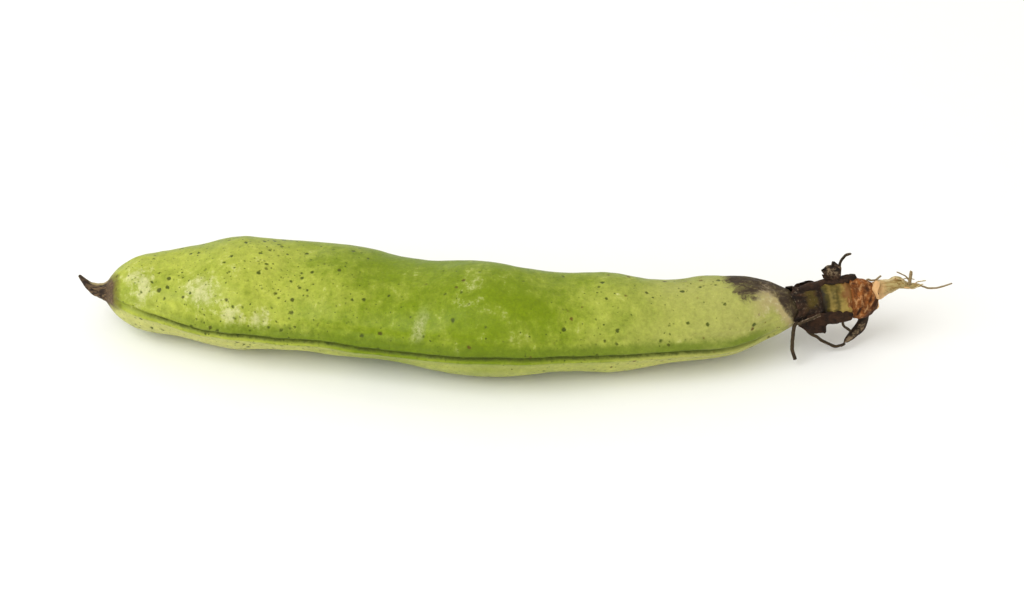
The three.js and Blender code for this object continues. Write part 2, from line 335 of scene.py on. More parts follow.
def add_stalk(bm, points, radii, grooves, wrinkle, seed, sides=64, rows=72):
    """Adds a round body along points, with a radius by share of its length, grooves along it, and
    wrinkles given as depth, size along it and size round it, in millimetres."""
    route = Route(points)
    radius = through(radii)
    count, groove = grooves
    depth, long_size, round_size = wrinkle
    facing = (0, 1, 0.1) if abs(route.axes(0.5, (0, 0, 1))[0].z) > 0.7 else (0, 0, 1)

    def place(along, turn, is_end):
        forward, across, face = route.axes(along, facing)
        angle = FULL_TURN * turn
        at = route.length * along
        r = radius(along)
        c, s = math.cos(angle), math.sin(angle)
        swing = 0.5 * wobble(3, at, seed, 0)
        carved = groove * (abs(math.sin(count * (angle + swing) / 2)) - 0.6)
        folds = 1 - 2 * abs(wobble(1, at / long_size, r * c / round_size, r * s / round_size + seed))
        shape = r + (carved + depth * folds) * min(1, r)
        if is_end:
            return route.point(along), {"along": along, "crease": 0.0, "high": 0.0}
        point = route.point(along) + across * shape * c + face * shape * s
        return point, {"along": along, "crease": folds, "high": s}

    add_ball(bm, sides, rows, place)


# -------------------------------------------------------------------------------------- finishes


class Finish:
    """A material in the making: one plain colour, until others are laid over it.

    Most calls add a node and give its result. Sizes are in millimetres.
    """

    def __init__(self, name, colour):
        self.material = bpy.data.materials.new(name)
        self.material.use_nodes = True
        self.tree = self.material.node_tree
        self.shader = self.tree.nodes["Principled BSDF"]
        self.place = self.node("ShaderNodeTexCoord").outputs["Object"]
        self.colour = colour

    def node(self, kind, inputs=(), **settings):
        node = self.tree.nodes.new(kind)
        for name, value in settings.items():
            setattr(node, name, value)
        for name, value in dict(inputs).items():
            self.give(node.inputs[name], value)
        return node

    def give(self, socket, value):
        if isinstance(value, bpy.types.NodeSocket):
            self.tree.links.new(value, socket)
        elif isinstance(value, (int, float)):
            socket.default_value = value
        else:
            values = tuple(value)
            socket.default_value = values if len(values) == len(socket.default_value) else (*values, 1)

    def layer(self, name):
        """A value that the mesh holds for each vertex."""
        return self.node("ShaderNodeAttribute", attribute_name=name).outputs["Fac"]

    def stretched(self, x, y, z):
        """Places squeezed by these factors, so that a pattern is long where a factor is small."""
        return self.node("ShaderNodeMapping", {"Vector": self.place, "Scale": (x, y, z)}).outputs["Vector"]

    def noise(self, size, detail=2.0, roughness=0.5, distortion=0.0, place=None):
        """Soft noise from 0 to 1 whose lumps are about size long."""
        inputs = {
            "Vector": place or self.place,
            "Scale": 1 / (size * MM),
            "Detail": detail,
            "Roughness": roughness,
            "Distortion": distortion,
        }
        return self.node("ShaderNodeTexNoise", inputs).outputs["Fac"]

    def warped(self, size, amount):
        """Places pushed about by noise of this size, so that round shapes come out uneven."""
        inputs = {"Vector": self.place, "Scale": 1 / (size * MM), "Detail": 2.0}
        push = self.node("ShaderNodeTexNoise", inputs).outputs["Color"]
        centred = self.node("ShaderNodeVectorMath", {0: push, 1: (0.5, 0.5, 0.5)}, operation="SUBTRACT")
        scaled = {0: centred.outputs["Vector"], 1: [amount * MM] * 3, 2: self.place}
        return self.node("ShaderNodeVectorMath", scaled, operation="MULTIPLY_ADD").outputs["Vector"]

    def near(self, point, reach):
        """1 at a point of the model, falling to 0 at reach from it."""
        away = self.node("ShaderNodeVectorMath", {0: self.place, 1: point}, operation="DISTANCE")
        return self.rise(away.outputs["Value"], reach * MM, 0.0)

    def math(self, operation, a, b=0.0, c=0.0):
        node = self.node("ShaderNodeMath", operation=operation)
        for socket, value in zip(node.inputs, (a, b, c)):
            self.give(socket, value)
        return node.outputs["Value"]

    def rise(self, value, start, end, low=0.0, high=1.0):
        """low before start and high past end, with a smooth step between."""
        inputs = {"Value": value, "From Min": start, "From Max": end, "To Min": low, "To Max": high}
        return self.node("ShaderNodeMapRange", inputs, interpolation_type="SMOOTHSTEP").outputs["Result"]

    def bell(self, value, reach):
        """1 where value is 0, falling to 0 at reach either side."""
        return self.rise(self.math("ABSOLUTE", value), reach, 0.0)

    def combined(self, operation, values):
        result = values[0]
        for value in values[1:]:
            result = self.math(operation, result, value)
        return result

    def times(self, *values):
        return self.combined("MULTIPLY", values)

    def plus(self, *values):
        return self.combined("ADD", values)

    def most(self, *values):
        """The largest of these values."""
        return self.combined("MAXIMUM", values)

    def about(self, noise, amount):
        """A noise as a change either side of nothing."""
        return self.times(self.plus(noise, -0.5), amount)

    def weighed(self, *pairs):
        """The sum of values, each times its own amount."""
        return self.plus(*[self.times(value, amount) for value, amount in pairs])

    def mix(self, factor, a, b, blend="MIX"):
        """Colour a with this much of colour b."""
        node = self.node("ShaderNodeMix", data_type="RGBA", blend_type=blend)
        for socket, value in zip((node.inputs[0], node.inputs[6], node.inputs[7]), (factor, a, b)):
            self.give(socket, value)
        return node.outputs[2]

    def lay(self, colour, *shares):
        """Lays a colour over what is there, as much as the product of these shares."""
        self.colour = self.mix(self.times(*shares), self.colour, colour)

    def specks(self, spacing, size, share, place=None):
        """Specks of about this size, and a shade from 0 to 1 for each one. share, from 0 to 1, is how
        many of the places hold a speck."""
        inputs = {"Vector": place or self.place, "Scale": 1 / (spacing * MM), "Randomness": 1.0}
        cells = self.node("ShaderNodeTexVoronoi", inputs)
        chance = self.node("ShaderNodeSeparateColor", {"Color": cells.outputs["Color"]})
        radius = self.math("MULTIPLY_ADD", chance.outputs["Red"], 0.7 * size, 0.3 * size)
        reached = self.math("MULTIPLY", cells.outputs["Distance"], spacing)
        inside = self.rise(self.math("SUBTRACT", radius, reached), -0.35 * size, 0.35 * size)
        chosen = self.rise(self.math("SUBTRACT", share, chance.outputs["Green"]), -0.02, 0.06)
        return self.times(inside, chosen), chance.outputs["Blue"]

    def finish(self, roughness, relief, **sockets):
        """Gives the shader the colour that was laid, a roughness, a relief in millimetres, and plain values
        by socket name."""
        self.give(self.shader.inputs["Base Color"], self.colour)
        self.give(self.shader.inputs["Roughness"], roughness)
        bump = self.node("ShaderNodeBump", {"Height": relief, "Distance": MM, "Strength": 1.0})
        self.give(self.shader.inputs["Normal"], bump.outputs["Normal"])
        for name, value in sockets.items():
            self.give(self.shader.inputs[name.replace("_", " ")], value)
        return self.material


# ------------------------------------------------------------------------------------------- pod

# Laid over a colour as an overlay, these darken and lighten it.
DARKENING_GREY = (0.25, 0.25, 0.25)
LIGHTENING_GREY = (0.75, 0.75, 0.75)


def beans_lift(x):
    """How far the beans inside lift the skin at x from the nose."""
    return sum(lift * bell(x - at, reach) for at, lift, reach in BEANS)


def pod_shape(settings):
    """Places the pod's skin: the CAD outline with its lips, furrows, lumps, wrinkles and ridged beak."""
    lump = settings.lump_height / MM
    wrinkle = settings.wrinkle_depth / MM
    lip = settings.lip_height / MM
    length = BEAK_LENGTH + NECK_AT + STIPE_LENGTH

    def place(along, turn, is_end):
        even = FULL_TURN * along
        x = -BEAK_LENGTH + length * (even - ROWS_TO_ENDS * math.sin(even)) / FULL_TURN
        middle = Vector((x, sideways(x), height(x)))
        if is_end:
            return middle, {"from_nose": x, "from_seam": 9.0, "front": 0.0, "high": 0.0, "swell": 0.0}
        ahead = Vector((x + 0.1, sideways(x + 0.1), height(x + 0.1)))
        forward = (ahead - middle).normalized()
        back = Vector((0, 0, 1)).cross(forward).normalized()
        up = forward.cross(back)
        angle = FULL_TURN * turn - SIDES_TO_SEAMS * math.sin(2 * FULL_TURN * turn)
        c, s = math.cos(angle), math.sin(angle)
        beans = beans_lift(x)
        rise = (half_thickness(x) + beans) * math.copysign(abs(s) ** FULLNESS, s)
        out = half_width(x) * math.copysign(abs(c) ** FULLNESS, c)

        # The skin's own lumps, calmer underneath, and long wrinkles at the neck and the nose.
        spot = (x, 14 * c, 11 * s)
        lumps = lump * (wobble(17, *spot) + 0.45 * wobble(7, *spot) + 0.16 * wobble(2.6, *spot))
        lumps *= blend_in(x, 0, 10) * blend_in(NECK_AT - x, 0, 8) * blend_in(s, -1.4, -0.2)
        drawn = blend_in(x, 138, 158) + 0.5 * blend_in(x, 14, 3)
        folds = wrinkle * drawn * (0.4 - 2 * abs(wobble(1, x / 11, 4.2 * c, 4.2 * s)))
        folds *= blend_in(x, -1, 4)
        ridges = 0.13 * math.cos(BEAK_RIDGES * angle + 0.8) + 0.2 * wobble(1.3, x, 2 * c, 2 * s)
        ridges *= blend_in(x, 1.2, -1)
        size = math.hypot(out, rise)
        scale = 1 + (lumps + folds) / max(size, 2) + ridges

        # The split seam wanders between two lips, with a furrow beyond each; the keel is one ridge.
        seams = blend_in(x, 0, SEAM_BLEND) * blend_in(NECK_AT - 2 - x, 0, SEAM_BLEND)
        from_seam = rise - seam_height(x) - 0.5 * wobble(16, x, 3, 0) - 0.16 * wobble(4, x, 0, 7)
        if c > 0:
            swelling = 1 + 0.35 * wobble(9, x, 5, 5) + 0.2 * wobble(3, x, 8, 2)
            lips = bell(from_seam - LIP_FROM_SEAM, 0.75) + bell(from_seam + LIP_FROM_SEAM, 0.75)
            relief = lip * swelling * lips
            relief -= 0.75 * lip * bell(from_seam, 0.5)
            relief -= 0.75 * lip * bell(from_seam - FURROW_ABOVE, 0.9) * (1 + wobble(12, x, 1, 1))
            relief -= 0.6 * lip * bell(from_seam + FURROW_BELOW, 0.8) * (1 + wobble(11, x, 4, 9))
            pressed = bell(x - CREASE_AT - CREASE_LEAN * from_seam, 1.8)
            relief -= 0.35 * pressed * bell(from_seam - CREASE_HEIGHT, 4.5)
        else:
            relief = -KEEL_HEIGHT * (bell(rise, KEEL_REACH) - 0.6 * bell(rise, 0.3))
        out = out * scale + seams * relief
        rise *= scale
        point = middle - back * out + up * rise
        point.z = max(point.z, 0)
        swell = (beans + 1.6 * lumps) / 3.6
        layers = {"from_nose": x, "from_seam": from_seam, "front": c, "high": s, "swell": swell}
        return point, layers

    return place


def on_pod(x, turn):
    """The point of the model that lies x from the nose and turn degrees round from the split seam."""
    out = half_width(x) * math.cos(math.radians(turn))
    rise = (half_thickness(x) + beans_lift(x)) * math.sin(math.radians(turn))
    return POD_PLACE @ Vector((x, sideways(x) - out, height(x) + rise))


def pod_finish(colours):
    """Satin yellow-green skin: mottled, pale on the swellings with worn skin and painted highlight, speckled,
    stained at the neck.
    """
    skin = Finish("fresh_pod_skin", colours.deep_green)
    from_nose, from_seam = skin.layer("from_nose"), skin.layer("from_seam")
    front, high, swell = skin.layer("front"), skin.layer("high"), skin.layer("swell")
    cloud, patch = skin.noise(22, 3, 0.55), skin.noise(6, 4, 0.62, 0.6)
    mottle, grain = skin.noise(2.2, 4, 0.7, 0.3), skin.noise(0.8, 3, 0.7)
    streak = skin.noise(1.2, 3, 0.65, 0.3, place=skin.stretched(1, 0.2, 0.2))
    about = skin.about

    # Yellower towards both ends, greener in the middle, with soft clouds between the two.
    middle = skin.times(skin.rise(from_nose, 34, 70), skin.rise(from_nose, 140, 96))
    ripe = skin.plus(0.82, skin.times(middle, -0.64), about(cloud, 1.4), about(patch, 1.1))
    ripe = skin.plus(ripe, about(mottle, 0.7), about(streak, 0.4))
    skin.lay(colours.ripe_yellow, skin.rise(ripe, -0.1, 1.25))
    skin.lay(colours.neck_olive, skin.rise(skin.plus(from_nose, about(cloud, 30)), 108, 150), 0.75)
    # Deeper green towards the keel: partly the skin's own tone, partly painted shade.
    skin.lay(colours.deep_green, skin.rise(front, -0.1, -0.85), 0.45)

    # Pale worn skin mixed with painted highlight, on the upper side: worn spots, faint wear and painted
    # highlight where the beans push the skin out, and the skin beside a pressed crease.
    spots = skin.most(*[skin.near(on_pod(x, turn), reach) for x, turn, reach in WORN_AND_LIT_SPOTS])
    rubbed_and_lit = skin.times(skin.rise(swell, 0.5, 1.1), 0.25)
    wear_and_highlight = skin.plus(skin.most(spots, rubbed_and_lit), about(patch, 2.6), about(mottle, 1.8))
    wear_and_highlight = skin.plus(wear_and_highlight, about(grain, 1.2), about(streak, 0.8))
    wear_and_highlight = skin.times(skin.rise(wear_and_highlight, 0.45, 1.35), skin.rise(high, -0.2, 0.35))
    leaning = skin.times(from_seam, -CREASE_LEAN)
    creased = skin.plus(from_nose, WORN_AND_LIT_BESIDE - CREASE_AT, leaning, about(mottle, 3))
    creased = skin.times(
        skin.bell(creased, 2.2), skin.bell(skin.plus(from_seam, WORN_AND_LIT_BESIDE - CREASE_HEIGHT), 4),
        skin.rise(grain, 0.25, 0.6), skin.rise(front, 0.0, 0.3),
    )
    wear_and_highlight = skin.most(wear_and_highlight, skin.times(creased, 0.8))
    skin.lay(colours.worn_cream_and_highlight, wear_and_highlight, 0.6)

    # The split seam: a dark line, a green band over it and paler skin under it.
    at_front = skin.rise(front, 0.25, 0.6)
    along_band = skin.rise(from_nose, 10, 34, 0.2, 1.0)
    band_top = skin.plus(from_seam, about(mottle, 2), about(patch, 1.6))
    band = skin.times(at_front, skin.rise(band_top, 3.9, 1.8), along_band)
    band = skin.times(band, skin.rise(from_seam, -0.9, 0.3), skin.rise(patch, 0.1, 0.6, 0.45, 1.0))
    band = skin.times(band, skin.rise(from_nose, 159, 151, 0.0, 0.85))
    skin.lay(colours.band_green, band)
    under = skin.times(at_front, skin.rise(from_seam, -1.0, -2.4), skin.rise(cloud, 0.2, 0.5))
    under = skin.times(under, skin.rise(from_nose, 60, 25, 0.5, 0.85))
    skin.lay(colours.under_pale, under)
    line = skin.bell(skin.plus(from_seam, about(grain, 1.2), about(mottle, 0.9)), 0.95)
    line = skin.times(line, at_front, skin.rise(mottle, 0.3, 0.55, 0.45, 1.0))
    line = skin.times(line, skin.rise(from_nose, 3, 17, 0.2, 0.9), skin.rise(from_nose, 156, 134, 0.25, 1))
    skin.lay(colours.seam_dark, line)

    # Fine unevenness, then specks: large ones in clusters, small ones nearly everywhere.
    for unevenness, share in ((mottle, 0.45), (grain, 0.65)):
        greys = skin.mix(unevenness, DARKENING_GREY, LIGHTENING_GREY)
        skin.colour = skin.mix(share, skin.colour, greys, "OVERLAY")
    crowd = skin.plus(about(cloud, 1.4), about(patch, 0.9), skin.rise(from_nose, 68, 42, 0.3, 0.85))
    uneven = skin.warped(0.8, 0.7)
    large, large_shade = skin.specks(2.1, 0.55, crowd, uneven)
    small, small_shade = skin.specks(1.0, 0.26, skin.plus(crowd, about(mottle, 0.8)), uneven)
    rusty = skin.times(skin.rise(large_shade, 0.5, 0.8), skin.rise(from_nose, 50, 110, 0.15, 1.0))
    skin.lay(skin.mix(rusty, colours.speck, colours.rusty_speck), large, 0.92)
    skin.lay(colours.speck, small, skin.rise(small_shade, 0, 1, 0.4, 0.9))

    # The neck: a mottled stain that creeps down from the back, and a dry cream patch under it.
    upness = skin.plus(skin.times(front, -0.64), skin.times(high, 0.77))
    stain_edge = skin.plus(
        skin.rise(from_nose, 145.2, 151, 1.12, 0.48), skin.rise(from_nose, 152.5, 156.5, 0.0, 0.14),
        skin.rise(from_nose, 157, 164.5, 0.0, -2.0),
    )
    beyond = skin.plus(upness, skin.times(stain_edge, -1), about(patch, 0.9), about(mottle, 0.7))
    beyond = skin.plus(beyond, about(grain, 0.5))
    cream = skin.times(skin.rise(beyond, -0.8, -0.25), skin.rise(from_nose, 150, 157), 0.85)
    skin.lay(colours.neck_cream, cream)
    flecks = skin.times(cream, skin.rise(skin.plus(mottle, about(grain, 0.8)), 0.5, 0.72, 0.0, 0.6))
    skin.lay(colours.worn_cream_and_highlight, flecks)
    stain = skin.times(skin.rise(beyond, -0.12, 0.2), skin.rise(from_nose, 130, 146))
    blotch = skin.noise(2.4, 3, 0.6, 0.8, place=skin.stretched(0.6, 1, 1))
    stain_colour = skin.mix(skin.rise(blotch, 0.42, 0.56), colours.stain_dark, colours.stain)
    stain_colour = skin.mix(skin.rise(grain, 0.52, 0.7, 0.0, 0.5), stain_colour, colours.neck_cream)
    ends = skin.plus(skin.rise(from_nose, 154, 151), skin.rise(from_nose, 157.5, 162))
    ends = skin.most(ends, skin.rise(beyond, 0.0, 0.3, 0.0, 1.5))
    stain_colour = skin.mix(skin.times(ends, 0.5), stain_colour, colours.stain_dark)
    mauve = skin.bell(skin.plus(from_nose, -155.6, about(mottle, 3)), 3.4)
    mauve = skin.times(mauve, skin.rise(beyond, 0.3, 0.05, 0.0, 0.5))
    stain_colour = skin.mix(mauve, stain_colour, colours.neck_mauve)
    thin = skin.rise(skin.plus(blotch, about(grain, 0.7)), 0.74, 0.52, 0.8, 0.98)
    skin.lay(stain_colour, stain, thin)

    # The beak: dry and brown, darkest along its ridges, its far edge pale. Its foot spreads over the
    # front of the nose, down to the split seam, with an olive ring round it.
    spread = skin.times(skin.rise(front, -0.3, 0.5), skin.rise(from_seam, -3.6, -1.6), -1.9)
    foot = skin.plus(from_nose, about(mottle, 2.4), spread)
    beak = skin.rise(foot, 1.5, 0.1)
    lengthways = skin.noise(0.6, 2, 0.5, place=skin.stretched(0.2, 1, 1))
    whole = skin.rise(from_nose, -1, 1.2, 0.0, 0.5)
    cracked = skin.most(skin.rise(lengthways, 0.44, 0.66), whole)
    beak_colour = skin.mix(cracked, colours.beak_dark, colours.beak)
    tip = skin.rise(from_nose, -2.6, -5)
    beak_colour = skin.mix(skin.times(tip, 0.7), beak_colour, colours.beak_dark)
    pale_edge = skin.rise(skin.plus(front, about(mottle, 0.4)), -0.15, -0.5, 0.0, 0.8)
    pale_edge = skin.times(pale_edge, skin.rise(high, -0.3, 0.2), skin.rise(from_nose, -5.4, -3.4))
    beak_colour = skin.mix(pale_edge, beak_colour, colours.neck_cream)
    skin.lay(colours.beak_ring, skin.rise(foot, 3.2, 1.3, 0.0, 0.75))
    skin.lay(beak_colour, beak)

    dry = skin.most(stain, beak)
    roughness = skin.plus(0.38, skin.times(patch, 0.16), skin.times(wear_and_highlight, 0.1), skin.times(dry, 0.2))
    relief = skin.weighed(
        (grain, 0.05), (streak, 0.08), (mottle, 0.1), (large, -0.05), (skin.times(stain, mottle), 0.25),
        (skin.times(beak, lengthways), 0.25),
    )
    return skin.finish(
        roughness, relief,
        Subsurface_Weight=0.1, Subsurface_Radius=(0.6, 1.0, 0.25), Subsurface_Scale=1.2 * MM,
        Specular_IOR_Level=0.18, Coat_Weight=0.03, Coat_Roughness=0.3,
    )


# ------------------------------------------------------------------------------------- stalk end

# Half widths of a strip by share of its length, from 0 to 1.
LEAF = ((0, 0.55), (0.15, 0.85), (0.5, 1), (0.8, 0.8), (0.94, 0.5), (1, 0.1))
FLAP = ((0, 0.3), (0.3, 0.6), (0.7, 0.95), (0.92, 1), (0.98, 0.8), (1, 0.2))
LONG_LEAF = ((0, 0.8), (0.1, 1), (0.6, 1), (0.88, 0.8), (0.97, 0.5), (1, 0.1))
SCRAP = ((0, 0.35), (0.25, 0.7), (0.6, 1), (0.85, 0.95), (0.96, 0.6), (1, 0.15))
TORN = ((0, 0.7), (0.25, 1), (0.55, 0.95), (0.75, 0.6), (0.92, 0.35), (1, 0.1))
THREAD = ((0, 1), (0.1, 0.95), (0.75, 0.9), (0.95, 0.7), (1, 0.2))


def strip_shape(outline, fold, crumple, ragged, seed, **grid):
    """A strip's shape, as add_blade reads it."""
    return {"outline": outline, "fold": fold, "crumple": crumple, "ragged": ragged, "seed": seed, **grid}


# The calyx's lobes: points in the stalk's frame, width, the way its broad side looks, its shape.
SEPALS = {
    "sepal_front_broad": (
        [(0.5, -4.5, -1.5), (2.6, -4.5, -2.5), (4.8, -4.3, -3.5), (7.3, -4, -3.9)],
        4.4, (0, -0.95, 0.1), strip_shape(FLAP, 0.2, (0.4, 2.6), 0.3, 3),
    ),
    "sepal_front_long": (
        [(2.4, -4.3, -0.9), (5.6, -4.4, -1.5), (9, -4.4, -1.9), (13.7, -4.2, -2.3)],
        3, (0, -0.8, 0.6), strip_shape(LONG_LEAF, 0.4, (0.25, 3), 0.2, 11),
    ),
    "sepal_top": (
        [(2.2, 0.2, 4.7), (4.4, 0.6, 4.6), (6.5, 0.9, 4.4), (9.4, 1.5, 4.7)],
        3.4, (-0.1, -0.3, 0.95), strip_shape(LEAF, -0.5, (0.4, 2.2), 0.2, 21),
    ),
    "sepal_back_high": (
        [(1.6, 3.9, 2.1), (2.8, 4.2, 2.1), (4.8, 4.2, 1.8), (8.7, 4.5, 0.8)],
        3.2, (0, 0.9, 0.4), strip_shape(LEAF, 0.3, (0.5, 2), 0.25, 31),
    ),
    "sepal_back_low": (
        [(1.4, 3.6, -2.7), (2.4, 3.9, -3.1), (4.6, 4, -4.2), (8.3, 3.6, -5.9)],
        3, (0, 0.7, -0.7), strip_shape(LEAF, 0.3, (0.5, 2), 0.25, 41),
    ),
}
# The petals, with how much of each has bleached, from 0 to 1.
PETALS = {
    "petal_upright": (
        [(10, 1.6, 4.3), (10.7, 2.3, 5.6), (10.6, 3.2, 7.2), (10.2, 4.2, 8.7)],
        4, (-0.3, -0.9, 0.3), strip_shape(TORN, 0.45, (1.2, 1.8), 0.7, 51), 0.62,
    ),
    "petal_lying": (
        [(8.8, 1, 4.6), (11.2, 1.2, 4.5), (13.4, 1.3, 4.3), (16.2, 1.7, 3.8)],
        3.2, (-0.1, -0.3, 1), strip_shape(SCRAP, -0.2, (0.7, 1.9), 0.4, 61), 0.3,
    ),
}
# The threads and the fibres, each with its width.
THREADS = {
    "thread_hanging": (
        [(0.3, -4.4, -0.9), (-0.8, -5.2, -1.8), (-1.7, -6.4, -4.7), (-2, -7.6, -7.1), (-1.9, -8.4, -9)],
        1.05,
    ),
    "thread_pale": ([(0.2, -5.3, -0.9), (1.2, -5.5, -0.4), (3.2, -5.4, 0.1), (5.7, -5.1, 0.4)], 0.85),
    "thread_looped": (
        [
            (2.2, -4.3, -4), (3.4, -4.3, -5.6), (5.4, -4.6, -7.8), (7.9, -4.9, -9.8), (9.9, -5, -10.5),
            (11.3, -4.9, -10),
        ],
        0.88,
    ),
    "thread_short": ([(10.8, -4.5, -2.4), (10.9, -4.7, -3.2), (11.3, -4.7, -5.1), (12.8, -4.4, -7.4)], 0.75),
    "thread_top": (
        [
            (12.2, 1.8, 4.6), (12.5, 2.6, 5.4), (12.9, 3.6, 6.4), (13.5, 4.4, 7.5), (14.6, 4.9, 8.1),
            (16.3, 5.3, 8),
        ],
        0.8,
    ),
}
FIBRES = {
    "fibre_long": (
        [(30.6, -0.1, -0.9), (31.9, -0.4, -1.6), (32.9, -0.8, -2.1), (34.9, -1.4, -1.9), (38.4, -1.7, -1.3)],
        0.5,
    ),
    "fibre_upright": ([(28.3, -0.1, -0.9), (28.6, 0.1, -0.1), (28.9, 0.5, 1.2), (29.3, 1.2, 2.7)], 0.9),
    "fibre_short": ([(28.6, 0.4, 0.4), (28, 0.7, 1.7), (26.9, 1.2, 2.4), (25.9, 1.6, 3)], 0.4),
    "fibre_hooked": (
        [(17.6, 0.5, 1.9), (18.7, 1.1, 2.7), (19.7, 1, 2.3), (20.8, 1.1, 2.2), (22.2, 1.6, 2.7)],
        0.6,
    ),
}
# The withered flower's stalk, and its half widths.
FLOWER_STALK = [(17.2, -2, -4.4), (16.7, -2.4, -6), (15.7, -2.9, -7.8), (13.9, -3.6, -8.9), (10.9, -4.9, -10)]
TAPER = ((0, 0.75), (0.2, 1), (0.5, 0.95), (0.72, 0.75), (0.9, 0.45), (1, 0.12))
# The torn stem's parts: its body, the pale flap at its base, and ends too fine for nodes of their own.
STEM = [
    (19.3, -0.9, 0.1), (21.3, -0.8, 0.4), (23.8, -0.4, 0.7), (26, 0, 0.5), (28.3, 0, -0.8),
    (31.4, -0.2, -1.2),
]
STEM_OUTLINE = (
    (0, 0.85), (0.08, 1), (0.25, 0.82), (0.5, 0.7), (0.7, 0.42), (0.85, 0.28), (0.97, 0.16), (1, 0.06),
)
STEM_FLAP = [(20.8, 0, 2.8), (19.4, -1.7, 1.5), (19, -3, -0.5), (19.9, -3.1, -2.9)]
STRANDS = (
    [(25, 0.4, 2.2), (26.2, 0.2, 1.7), (26.9, -0.3, 1), (27.4, -0.5, 0)],
    [(25.6, 0.5, 0.9), (28, 1.2, 0.7), (30.2, 1.4, -0.4)],
    [(27, -0.6, -0.4), (29.2, -1.2, -0.7), (31.6, -1.4, 0.2)],
    [(29.4, 0, -0.8), (31, 0.3, -0.3), (32.6, 0.1, -0.4)],
)
CALYX_OUTLINE = (
    (0, 7.5), (2.3, 7.5), (3.3, 6.9), (3.65, 5.2), (3.85, 3.4), (4.2, 1.8), (4.65, 0.3),
    (4.3, 0.4), (3.9, 1.8), (3.5, 3.4), (3.2, 5), (2.6, 6.1), (0, 6.4),
)
CALYX_RIBS = 10
CALYX_LIFT = 0.3


def add_calyx_cup(bm):
    """Adds the withered cup: two walls that meet in a ragged rim, pinched along ten ribs."""
    outline = Route([(radius, along, 0) for radius, along in CALYX_OUTLINE])

    def place(along, turn, is_end):
        radius, at, _ = outline.point(along)
        angle = FULL_TURN * turn
        c, s = math.cos(angle), math.sin(angle)
        if is_end:
            return Vector((at, 0, CALYX_LIFT)), {"along": at, "crease": 0.0, "across": 0.0}
        rim = bell(at - 0.3, 1.8)
        at += rim * (0.4 * math.sin(5 * angle + 1) + 0.8 * wobble(2.2, 5 * c, 5 * s, 4))
        crease = 1 - 2 * abs(wobble(1, at / 3.2, 3.4 * c, 3.4 * s))
        ribs = abs(math.cos(CALYX_RIBS / 2 * angle + 0.5 * wobble(2, at, 7, 1)))
        r = radius + min(1, radius / 2) * (0.2 * ribs + 0.32 * crease - 0.2)
        r += rim * 0.35 * wobble(1.6, 5 * c, 5 * s, at)
        return Vector((at, r * c, r * s + CALYX_LIFT)), {"along": at, "crease": crease, "across": s}

    add_ball(bm, 152, 96, place)


def withered_finish(name, dark, brown, pale, pale_and_highlight_share, dark_edges=0.4):
    """Dry plant skin: dark and blotchy, browner on its creases, with pale flecks away from its edges.
    pale_and_highlight_share, from 0 to 1, is how much of it is pale; dark_edges is how far its edges are from
    that. On the round flower stalk the pale middle is partly a painted highlight and its dark edges are
    painted shade."""
    skin = Finish(name, dark)
    edge = skin.math("ABSOLUTE", skin.layer("across"))
    base = skin.rise(skin.layer("along"), 0.45, 0.1)
    patch, grain = skin.noise(2.6, 4, 0.6, 0.6), skin.noise(0.55, 4, 0.65)
    veins = skin.noise(0.5, 3, 0.6, 0.4, place=skin.stretched(0.25, 1, 1))
    skin.lay(brown, skin.rise(skin.plus(patch, skin.times(veins, 0.5)), 0.55, 0.95))
    pale_part = skin.plus(patch, skin.about(grain, 0.9), pale_and_highlight_share - 0.5)
    # Less pale towards the edges: on the round flower stalk, painted shade at its edges.
    at_edges = skin.times(skin.rise(edge, 0.4, 0.9), -dark_edges)
    pale_part = skin.plus(pale_part, at_edges, skin.times(base, -0.2))
    skin.lay(pale, skin.rise(pale_part, 0.5, 0.8), 0.85)
    skin.lay(dark, skin.rise(veins, 0.42, 0.3, 0.0, 0.7))
    relief = skin.weighed((grain, 0.12), (veins, 0.2))
    return skin.finish(skin.plus(0.7, skin.times(patch, 0.2)), relief, Specular_IOR_Level=0.2)


def calyx_finish(colours):
    """Withered purple-brown, with an olive patch that is still half fresh and pale worn flecks."""
    skin = Finish("withered_calyx", colours.calyx_dark_and_fold_shade)
    along, crease = skin.layer("along"), skin.layer("crease")
    patch, grain = skin.noise(2.8, 4, 0.6, 0.5), skin.noise(0.6, 4, 0.65)
    skin.lay(colours.calyx_brown, skin.rise(patch, 0.38, 0.62))
    fresh = skin.plus(skin.layer("across"), skin.about(patch, 1.6))
    reached = skin.plus(along, -4.8, skin.about(patch, 4))
    fresh = skin.times(skin.rise(fresh, 0.1, 0.7), skin.bell(reached, 2.6))
    skin.lay(colours.calyx_olive, fresh, 0.65)
    folded = skin.bell(skin.plus(along, -6.7, skin.times(patch, 0.6)), 0.8)
    skin.lay(colours.calyx_dark_and_fold_shade, folded, 0.8)
    worn = skin.times(skin.rise(grain, 0.54, 0.7), skin.rise(along, 3.4, 0.2, 0.2, 0.75))
    skin.lay(colours.calyx_pale, worn)
    # Painted shade: darker in the valleys between the cup's crumples.
    skin.lay(colours.calyx_dark_and_fold_shade, skin.rise(crease, 0.35, -0.15, 0.0, 0.75))
    relief = skin.weighed((grain, 0.16), (patch, 0.2))
    return skin.finish(skin.plus(0.66, skin.times(grain, 0.25)), relief, Specular_IOR_Level=0.2)


